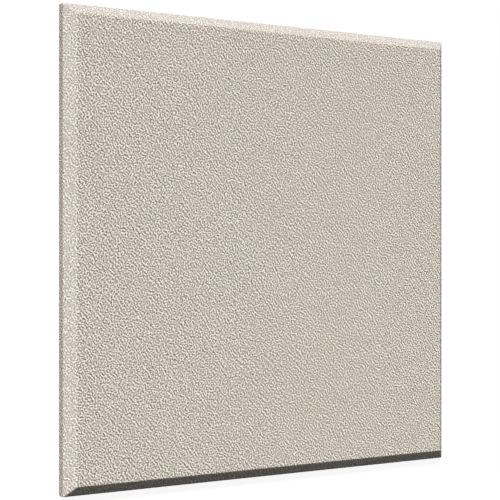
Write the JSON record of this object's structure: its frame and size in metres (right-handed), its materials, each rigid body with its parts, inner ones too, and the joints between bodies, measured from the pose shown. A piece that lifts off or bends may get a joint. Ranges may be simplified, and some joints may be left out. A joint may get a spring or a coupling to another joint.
{
  "type": "fabric acoustic wall panel",
  "caption": "Square sound-absorbing wall panel: a rigid glass-fibre board with a bevelled front edge, wrapped in open woven fabric that is folded and mitred on the back.",
  "frame": {"origin": "middle of the back, on the plane of the wall", "axes": "+Z out of the face, +X to the right and +Y up as the panel hangs and is looked at from the front"},
  "size_m": [0.6096, 0.6096, 0.0254],
  "materials": {
    "glass_fibre_board": "matt pressed glass fibre, straw yellow",
    "panel_fabric": "matt pebbled weave, warm pale beige"
  },
  "bodies": {
    "root": {"core_board": "glass_fibre_board", "fabric_wrap": "panel_fabric"}
  },
  "joints": []
}
